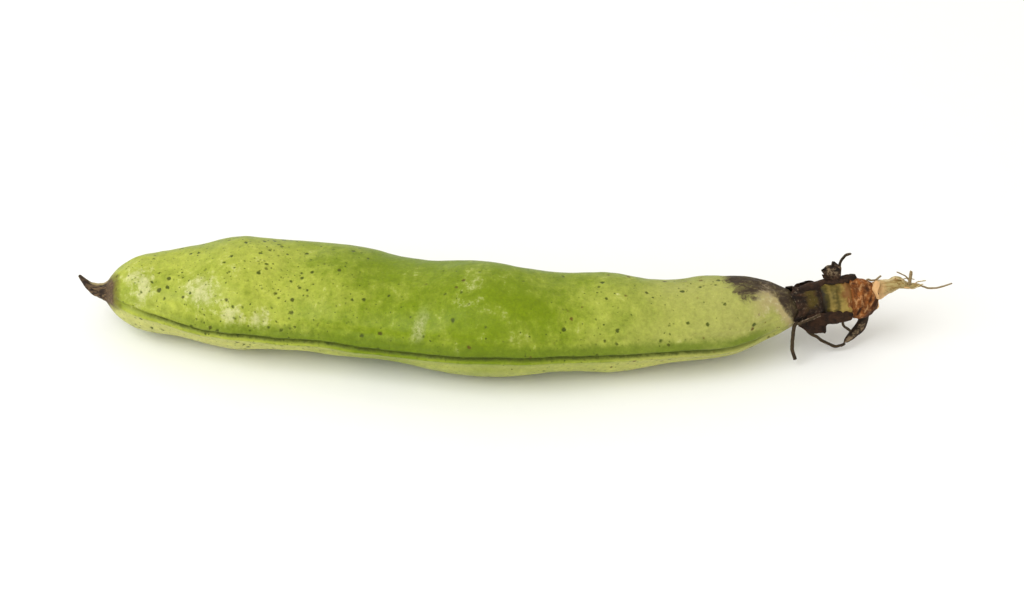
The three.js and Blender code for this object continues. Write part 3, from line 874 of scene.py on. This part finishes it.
def pedicel_finish(colours):
    """Fresh stem: olive at the calyx and in its fold, pale yellow beyond, rusty on top at the knot."""
    skin = Finish("fresh_pedicel", colours.pedicel_olive)
    along, crease, high = skin.layer("along"), skin.layer("crease"), skin.layer("high")
    lengthways = skin.noise(0.8, 3, 0.6, 0.2, place=skin.stretched(0.22, 1, 1))
    grain, patch = skin.noise(0.5, 3, 0.6), skin.noise(2.4, 3, 0.6)
    uneven = skin.about(patch, 0.3)
    ripe = skin.plus(skin.times(lengthways, 0.6), skin.times(crease, 0.1), skin.times(along, 0.7), -0.13)
    skin.lay(colours.pedicel_yellow, skin.rise(ripe, 0.3, 0.74))
    ridge = skin.bell(skin.plus(along, -0.3, uneven), 0.1)
    skin.lay(colours.pedicel_yellow, ridge, 0.4)
    folded = skin.bell(skin.plus(along, -0.47, uneven), 0.13)
    skin.lay(colours.pedicel_olive, folded, 0.8)
    slanted = skin.plus(along, skin.times(high, 0.2), skin.about(patch, 0.8))
    skin.lay(colours.knot_rust, skin.rise(slanted, 0.66, 0.92, 0.0, 0.85))
    joined = skin.rise(skin.plus(along, uneven), 0.18, 0.08)
    skin.lay(colours.calyx_dark_and_fold_shade, joined, 0.85)
    relief = skin.weighed((lengthways, 0.14), (grain, 0.04))
    return skin.finish(skin.plus(0.55, skin.times(patch, 0.15)), relief, Specular_IOR_Level=0.25)


def knot_finish(colours):
    """Dry rusty joint: orange on its folds, painted shade in dark brown between them, dark brown at its lower
    end.
    """
    skin = Finish("rusty_knot", colours.knot_rust)
    along, crease = skin.layer("along"), skin.layer("crease")
    patch, grain = skin.noise(2.2, 4, 0.6, 0.5), skin.noise(0.6, 4, 0.65)
    fibres = skin.noise(0.8, 3, 0.6, 0.4, place=skin.stretched(1, 0.4, 0.4))
    skin.lay(colours.knot_orange, skin.rise(patch, 0.38, 0.64))
    frayed = skin.rise(skin.plus(fibres, skin.times(grain, 0.4)), 0.68, 0.88, 0.0, 0.4)
    skin.lay(colours.stub_peach, frayed)
    # Painted shade: dark brown in the valleys between the knot's folds.
    skin.lay(colours.knot_brown_and_fold_shade, skin.rise(crease, 0.35, -0.25, 0.0, 0.9))
    skin.lay(colours.knot_brown_and_fold_shade, skin.rise(grain, 0.48, 0.34, 0.0, 0.7))
    ended = skin.rise(skin.plus(along, skin.about(patch, 0.3)), 0.64, 0.84, 0.0, 0.9)
    skin.lay(colours.knot_brown_and_fold_shade, ended)
    relief = skin.weighed((grain, 0.16), (fibres, 0.22))
    return skin.finish(skin.plus(0.62, skin.times(grain, 0.25)), relief, Specular_IOR_Level=0.2)


def straw_finish(name, colours, peach_base, aged):
    """Torn stem: pale straw with fine fibres along it, small dark spots and, at its base, peach. aged,
    from 0 to 1, is how far it has gone brown."""
    skin = Finish(name, colours.stub_shade)
    along, across = skin.layer("along"), skin.layer("across")
    fibres = skin.noise(0.4, 3, 0.65, 0.3, place=skin.stretched(0.15, 1, 1))
    grain, patch = skin.noise(0.4, 3, 0.6), skin.noise(2, 3, 0.6, 0.4)
    skin.lay(colours.stub_straw, skin.rise(fibres, 0.36, 0.6))
    # Paler at the strip's edges: partly the torn edges' own colour, partly painted highlight.
    pale = skin.times(skin.rise(skin.math("ABSOLUTE", across), 0.55, 0.95), skin.rise(patch, 0.3, 0.6))
    skin.lay(colours.stub_pale_and_highlight, pale, 0.7)
    base = skin.rise(skin.plus(along, skin.about(patch, 0.4)), 0.34, 0.06)
    skin.lay(colours.stub_peach, base, peach_base)
    skin.lay(colours.fibre_brown, aged)
    dots, _ = skin.specks(0.9, 0.2, skin.plus(patch, -0.2))
    skin.lay(colours.knot_brown_and_fold_shade, dots, 0.8)
    relief = skin.weighed((fibres, 0.16), (grain, 0.03))
    return skin.finish(
        skin.plus(0.55, skin.times(patch, 0.2)), relief,
        Subsurface_Weight=0.06, Subsurface_Radius=(0.8, 0.6, 0.3), Subsurface_Scale=0.6 * MM,
        Specular_IOR_Level=0.3,
    )


# --------------------------------------------------------------------------------------- settings


def colour_setting(name, description, red, green, blue):
    """A colour, given as shown on a screen."""
    return FloatVectorProperty(
        name=name, description=description, subtype="COLOR", min=0, max=1, default=linear(red, green, blue)
    )


def length_setting(name, description, millimetres):
    return FloatProperty(name=name, description=description, unit="LENGTH", default=millimetres * MM)


def angle_setting(name, description, degrees):
    return FloatProperty(name=name, description=description, subtype="ANGLE", default=math.radians(degrees))


class PodSettings(bpy.types.PropertyGroup):
    lump_height: length_setting("Lumps", "Height of the skin's broadest lumps", 0.6)
    wrinkle_depth: length_setting("Wrinkles", "Depth of the long wrinkles at the neck", 0.3)
    lip_height: length_setting("Lips", "Height of the lips beside the split seam", 0.5)
    deep_green: colour_setting("Deep green", "The greenest skin", 0.44, 0.52, 0.0)
    ripe_yellow: colour_setting("Ripe yellow", "The palest skin", 0.68, 0.71, 0.28)
    # This pale cream serves worn skin, the neck's dry flecks, and painted highlight on the swellings.
    worn_cream_and_highlight: colour_setting("Scuffs", "Worn skin on the swellings", 0.79, 0.78, 0.6)
    band_green: colour_setting("Seam band", "The band over the split seam", 0.37, 0.45, 0.03)
    under_pale: colour_setting("Under the seam", "The skin below the split seam", 0.74, 0.74, 0.44)
    seam_dark: colour_setting("Seam", "The split seam's line", 0.24, 0.28, 0.02)
    speck: colour_setting("Specks", "The skin's specks", 0.24, 0.29, 0.0)
    rusty_speck: colour_setting("Rusty specks", "The browner specks", 0.36, 0.26, 0.05)
    neck_olive: colour_setting("Far olive", "The duller skin towards the neck", 0.635, 0.63, 0.355)
    stain: colour_setting("Stain", "The lighter part of the neck's stain", 0.38, 0.325, 0.22)
    stain_dark: colour_setting("Dark stain", "The darker part of the neck's stain", 0.205, 0.155, 0.12)
    neck_mauve: colour_setting("Neck mauve", "The stain's faded middle", 0.66, 0.59, 0.49)
    neck_cream: colour_setting("Neck cream", "The dry patch on the neck", 0.68, 0.61, 0.44)
    beak: colour_setting("Beak", "The lighter part of the beak", 0.44, 0.355, 0.25)
    beak_ring: colour_setting("Beak's ring", "The olive skin round the beak's base", 0.41, 0.38, 0.13)
    beak_dark: colour_setting("Dark beak", "The beak's ridges and its tip", 0.17, 0.125, 0.09)


class StalkSettings(bpy.types.PropertyGroup):
    # Dark calyx: the calyx's and lobes' own dark, their dark joints, and painted shade in the cup's folds.
    calyx_dark_and_fold_shade: colour_setting("Dark calyx", "The calyx's folds", 0.1, 0.065, 0.04)
    calyx_brown: colour_setting("Calyx", "The calyx's purple-brown skin", 0.235, 0.155, 0.1)
    calyx_olive: colour_setting("Olive calyx", "The calyx's half fresh patch", 0.32, 0.275, 0.06)
    calyx_pale: colour_setting("Pale calyx", "The calyx's worn flecks", 0.60, 0.53, 0.45)
    petal_dark: colour_setting("Dark petal", "The petals' folds", 0.09, 0.07, 0.05)
    petal_grey: colour_setting("Grey petal", "The petals' pale faces", 0.55, 0.475, 0.37)
    pedicel_olive: colour_setting("Olive pedicel", "The pedicel between its ribs", 0.26, 0.225, 0.04)
    pedicel_yellow: colour_setting("Yellow pedicel", "The pedicel's ribs", 0.62, 0.53, 0.26)
    knot_orange: colour_setting("Orange knot", "The knot's folds", 0.56, 0.325, 0.13)
    knot_rust: colour_setting("Rusty knot", "The knot's skin", 0.42, 0.23, 0.075)
    # Dark brown: the knot's lower end and grain and the torn stem's dots, and painted shade between the
    # knot's folds.
    knot_brown_and_fold_shade: colour_setting("Brown knot", "Between the knot's folds", 0.22, 0.12, 0.06)
    stub_straw: colour_setting("Straw", "The torn stem", 0.67, 0.595, 0.385)
    stub_shade: colour_setting("Shaded straw", "Between the torn stem's fibres", 0.51, 0.39, 0.18)
    stub_peach: colour_setting("Peach straw", "The torn stem's flared base", 0.86, 0.68, 0.47)
    fibre_brown: colour_setting("Aged fibres", "The loose fibres", 0.46, 0.39, 0.29)
    # Pale straw: the torn edges' own colour and painted highlight on them.
    stub_pale_and_highlight: colour_setting("Pale straw", "The torn stem's edges", 0.9, 0.83, 0.66)
    thread_dark: colour_setting("Dark thread", "The withered threads", 0.15, 0.12, 0.085)
    thread_brown: colour_setting("Brown thread", "The lighter parts of the threads", 0.28, 0.225, 0.15)
    thread_pale: colour_setting("Pale thread", "The bleached thread", 0.58, 0.50, 0.43)


class StageSettings(bpy.types.PropertyGroup):
    view_turn: angle_setting("View turn", "Turn of the camera towards the stalk", 2.6)
    view_height: angle_setting("View height", "Angle at which the camera looks down", 40)
    filled: FloatProperty(
        name="Filled", description="Share of the picture's width that the pod fills", subtype="FACTOR",
        min=0.1, max=1, default=0.86,
    )
    lens: FloatProperty(name="Lens", description="The camera's focal length in millimetres", default=100)
    key_power: FloatProperty(
        name="Key light", description="Light from the front left", unit="POWER", default=10.5
    )
    fill_power: FloatProperty(
        name="Fill light", description="Light from the front", unit="POWER", default=1.0
    )
    sky: FloatProperty(name="Sky", description="Brightness of the even light all round", default=0.84)
    floor: colour_setting("Floor", "The pale floor", 0.965, 0.965, 0.96)


# -------------------------------------------------------------------------------------- operators


class BEANPOD_OT_pod(bpy.types.Operator):
    """Builds the pod: its skin with the seams, the swellings over the beans, the neck and the beak"""

    bl_idname = "bean_pod.pod"
    bl_label = "Pod"

    def execute(self, context):
        settings = context.scene.bean_pod
        bm = bmesh.new()
        add_ball(bm, 180, 420, pod_shape(settings))
        add_piece("pod_skin", bm, POD_PLACE, pod_finish(settings), "pod")
        return {"FINISHED"}


class BEANPOD_OT_calyx(bpy.types.Operator):
    """Builds the withered calyx: its cup and its five lobes"""

    bl_idname = "bean_pod.calyx"
    bl_label = "Calyx"

    def execute(self, context):
        colours = context.scene.bean_stalk
        bm = bmesh.new()
        add_calyx_cup(bm)
        add_piece("calyx_cup", bm, STALK_PLACE, calyx_finish(colours), "calyx_tube")
        finish = withered_finish(
            "withered_sepal", colours.calyx_dark_and_fold_shade, colours.calyx_brown, colours.calyx_pale, pale_and_highlight_share=0.28
        )
        for node, (points, width, facing, shape) in SEPALS.items():
            add_strip(f"withered_{node}", node, finish, points, width, 0.45, facing, shape)
        return {"FINISHED"}


class BEANPOD_OT_petals(bpy.types.Operator):
    """Builds the two shreds of withered petal on top of the stalk"""

    bl_idname = "bean_pod.petals"
    bl_label = "Petals"

    def execute(self, context):
        colours = context.scene.bean_stalk
        for node, (points, width, facing, shape, bleached) in PETALS.items():
            finish = withered_finish(
                f"withered_{node}", colours.petal_dark, colours.calyx_brown, colours.petal_grey,
                pale_and_highlight_share=bleached, dark_edges=0.1,
            )
            add_strip(f"withered_{node}", node, finish, points, width, 0.4, facing, shape)
        return {"FINISHED"}


class BEANPOD_OT_stalk(bpy.types.Operator):
    """Builds the fresh pedicel and the rusty knot that it leaves"""

    bl_idname = "bean_pod.stalk"
    bl_label = "Pedicel and knot"

    def execute(self, context):
        colours = context.scene.bean_stalk
        bm = bmesh.new()
        add_stalk(
            bm,
            [(6.6, 0, 0.3), (10, -0.1, 0.3), (15, -0.6, -0.2)],
            [(0, 2.4), (0.1, 3.35), (0.45, 3.6), (0.85, 3.6), (1, 2.9)],
            grooves=(5, 0.3), wrinkle=(0.42, 2.1, 4.5), seed=5,
        )
        add_piece("ribbed_pedicel", bm, STALK_PLACE, pedicel_finish(colours), "pedicel")
        bm = bmesh.new()
        add_stalk(
            bm,
            [(12.9, -0.5, -0.2), (15.4, -0.8, -0.5), (17.4, -1.3, -1.6), (19.6, -1.9, -3.2)],
            [(0, 3.2), (0.12, 3.75), (0.4, 4.1), (0.62, 3.9), (0.85, 2.9), (0.96, 1.9), (1, 1.2)],
            grooves=(4, 0.5), wrinkle=(0.5, 1.3, 3), seed=8, sides=96, rows=110,
        )
        add_piece("wrinkled_knot", bm, STALK_PLACE, knot_finish(colours), "peduncle_knot")
        return {"FINISHED"}


class BEANPOD_OT_torn_stem(bpy.types.Operator):
    """Builds the torn strip of stem with its strands, and its loose fibres"""

    bl_idname = "bean_pod.torn_stem"
    bl_label = "Torn stem"

    def execute(self, context):
        colours = context.scene.bean_stalk
        straw = straw_finish("torn_stem_straw", colours, peach_base=0.95, aged=0.0)
        bm = bmesh.new()
        shape = strip_shape(STEM_OUTLINE, -0.5, (0.4, 2.6), 0.22, 71, sides=48, rows=100)
        add_blade(bm, STEM, 4.8, 1.5, (-0.2, -0.85, 0.5), shape)
        shape = strip_shape(LEAF, -0.4, (0.3, 2), 0.2, 75, sides=32, rows=60, aged=0.0)
        add_blade(bm, STEM_FLAP, 2.3, 0.9, (-0.75, -0.6, 0.2), shape)
        for seed, points in enumerate(STRANDS):
            shape = strip_shape(THREAD, 0, (0.2, 1.4), 0.3, 80 + seed, sides=12, rows=24)
            add_blade(bm, points, 0.34, 0.26, (0, 1, 0.3), shape)
        add_piece("torn_stem", bm, STALK_PLACE, straw, "peduncle_stub")
        straw = straw_finish("fibre_straw", colours, peach_base=0.0, aged=0.7)
        for seed, (node, (points, width)) in enumerate(FIBRES.items()):
            shape = strip_shape(THREAD, 0, (0.25, 2.2), 0.35, 90 + seed, sides=16, rows=56)
            add_strip(f"torn_{node}", node, straw, points, width, 0.8 * width, (0, 1, 0.3), shape)
        return {"FINISHED"}


class BEANPOD_OT_flower_remains(bpy.types.Operator):
    """Builds the withered flower's stalk and its five stamen threads"""

    bl_idname = "bean_pod.flower_remains"
    bl_label = "Flower remains"

    def execute(self, context):
        colours = context.scene.bean_stalk
        # The flower stalk's pale middle is partly a painted highlight, and its dark edges are painted shade.
        finish = withered_finish(
            "withered_flower_stalk", colours.thread_dark, colours.calyx_brown, colours.petal_grey, pale_and_highlight_share=0.7
        )
        shape = strip_shape(TAPER, -0.4, (0.25, 2.4), 0.15, 101, sides=32, rows=70)
        facing = (0.1, -0.75, 0.6)
        add_strip("withered_stalk", "flower_stalk", finish, FLOWER_STALK, 2.6, 1, facing, shape)
        dark, bleached = [
            withered_finish(name, colours.thread_dark, colours.thread_brown, colours.thread_pale, pale_and_highlight_share)
            for name, pale_and_highlight_share in (("withered_thread", 0.2), ("bleached_thread", 0.66))
        ]
        for seed, (node, (points, width)) in enumerate(THREADS.items()):
            shape = strip_shape(THREAD, 0, (0.3, 2.6), 0.35, 110 + seed, sides=16, rows=64)
            finish = bleached if node == "thread_pale" else dark
            add_strip(f"withered_{node}", node, finish, points, width, 0.85 * width, (1, 0, 0), shape)
        return {"FINISHED"}


# Light colours, as linear values: the key light is a little cool and the light all round a little warm.
COOL_LIGHT = (0.955, 0.972, 1)
WARM_LIGHT = (1, 0.977, 0.908, 1)


class BEANPOD_OT_stage(bpy.types.Operator):
    """Builds the pale floor, the soft lights and the camera"""

    bl_idname = "bean_pod.stage"
    bl_label = "Stage"

    def execute(self, context):
        settings = context.scene.bean_stage
        low, high = cad_box
        middle = (low + high) / 2
        add_floor(settings)
        key = add_light("key_light", Vector((-0.8, -0.4, 1.0)), middle, 1.1, settings.key_power)
        key.data.color = COOL_LIGHT
        add_light("fill_light", Vector((0.25, -0.9, 0.7)), middle, 0.9, settings.fill_power)
        world = bpy.data.worlds.new("even_light")
        world.use_nodes = True
        background = world.node_tree.nodes["Background"]
        background.inputs["Color"].default_value = WARM_LIGHT
        background.inputs["Strength"].default_value = settings.sky
        context.scene.world = world
        context.scene.view_settings.view_transform = "Standard"
        add_camera(settings, middle, high.x - low.x)
        return {"FINISHED"}


def add_floor(settings):
    """Adds a round floor whose far rim rises in a smooth curve, so that no edge shows from any side."""
    radius, rim = 2.2, 0.8
    rim_steps, round_steps = 8, 96
    bm = bmesh.new()
    start = bm.verts.new((0, 0, 0))
    profile = [start, bm.verts.new((radius, 0, 0))]
    for step in range(1, rim_steps + 1):
        angle = step / rim_steps * FULL_TURN / 4
        profile.append(bm.verts.new((radius + rim * math.sin(angle), 0, rim * (1 - math.cos(angle)))))
    edges = [bm.edges.new(pair) for pair in zip(profile, profile[1:])]
    bmesh.ops.spin(
        bm, geom=profile + edges, cent=(0, 0, 0), axis=(0, 0, 1), angle=FULL_TURN, steps=round_steps,
        use_merge=True,
    )
    bmesh.ops.remove_doubles(bm, verts=bm.verts, dist=1e-5)
    bmesh.ops.recalc_face_normals(bm, faces=bm.faces)
    finish = Finish("pale_floor", settings.floor)
    grain = finish.noise(6, 2, 0.5)
    finish.lay([0.985 * part for part in settings.floor], grain)
    floor = add_object("floor", bm, finish.finish(0.85, finish.times(grain, 0.01)))


def aim(thing, place, target):
    """Puts a light or a camera at a place, looking at a target."""
    thing.location = place
    thing.rotation_euler = (target - place).to_track_quat("-Z", "Y").to_euler()


def add_light(name, place, target, size, power):
    light = bpy.data.lights.new(name, "AREA")
    light.shape = "DISK"
    light.size = size
    light.energy = power
    lamp = bpy.data.objects.new(name, light)
    bpy.context.scene.collection.objects.link(lamp)
    aim(lamp, place, target)
    return lamp


def add_camera(settings, target, length):
    lens = bpy.data.cameras.new("camera")
    lens.lens = settings.lens
    camera = bpy.data.objects.new("camera", lens)
    bpy.context.scene.collection.objects.link(camera)
    turn, rise = settings.view_turn, settings.view_height
    back = Vector((math.sin(turn) * math.cos(rise), -math.cos(turn) * math.cos(rise), math.sin(rise)))
    distance = length / settings.filled * lens.lens / lens.sensor_width
    aim(camera, target + back * distance, target)
    lens.clip_start = 0.01
    lens.clip_end = 20
    bpy.context.scene.camera = camera


class BEANPOD_PT_panel(bpy.types.Panel):
    """The pod's sizes, colours and operators"""

    bl_label = "Bean pod"
    bl_idname = "BEANPOD_PT_panel"
    bl_space_type = "VIEW_3D"
    bl_region_type = "UI"
    bl_category = "Bean pod"

    def draw(self, context):
        for operator in OPERATORS:
            self.layout.operator(operator.bl_idname)
        for group in (context.scene.bean_pod, context.scene.bean_stalk, context.scene.bean_stage):
            for name in group.__annotations__:
                self.layout.prop(group, name)


OPERATORS = (
    BEANPOD_OT_pod,
    BEANPOD_OT_calyx,
    BEANPOD_OT_petals,
    BEANPOD_OT_stalk,
    BEANPOD_OT_torn_stem,
    BEANPOD_OT_flower_remains,
    BEANPOD_OT_stage,
)
CLASSES = (PodSettings, StalkSettings, StageSettings, *OPERATORS, BEANPOD_PT_panel)


def register():
    for kind in CLASSES:
        bpy.utils.register_class(kind)
    bpy.types.Scene.bean_pod = PointerProperty(type=PodSettings)
    bpy.types.Scene.bean_stalk = PointerProperty(type=StalkSettings)
    bpy.types.Scene.bean_stage = PointerProperty(type=StageSettings)


def unregister():
    del bpy.types.Scene.bean_pod
    del bpy.types.Scene.bean_stalk
    del bpy.types.Scene.bean_stage
    for kind in reversed(CLASSES):
        bpy.utils.unregister_class(kind)


def main():
    register()
    for operator in OPERATORS:
        category, name = operator.bl_idname.split(".")
        getattr(getattr(bpy.ops, category), name)()


if __name__ == "__main__":
    main()
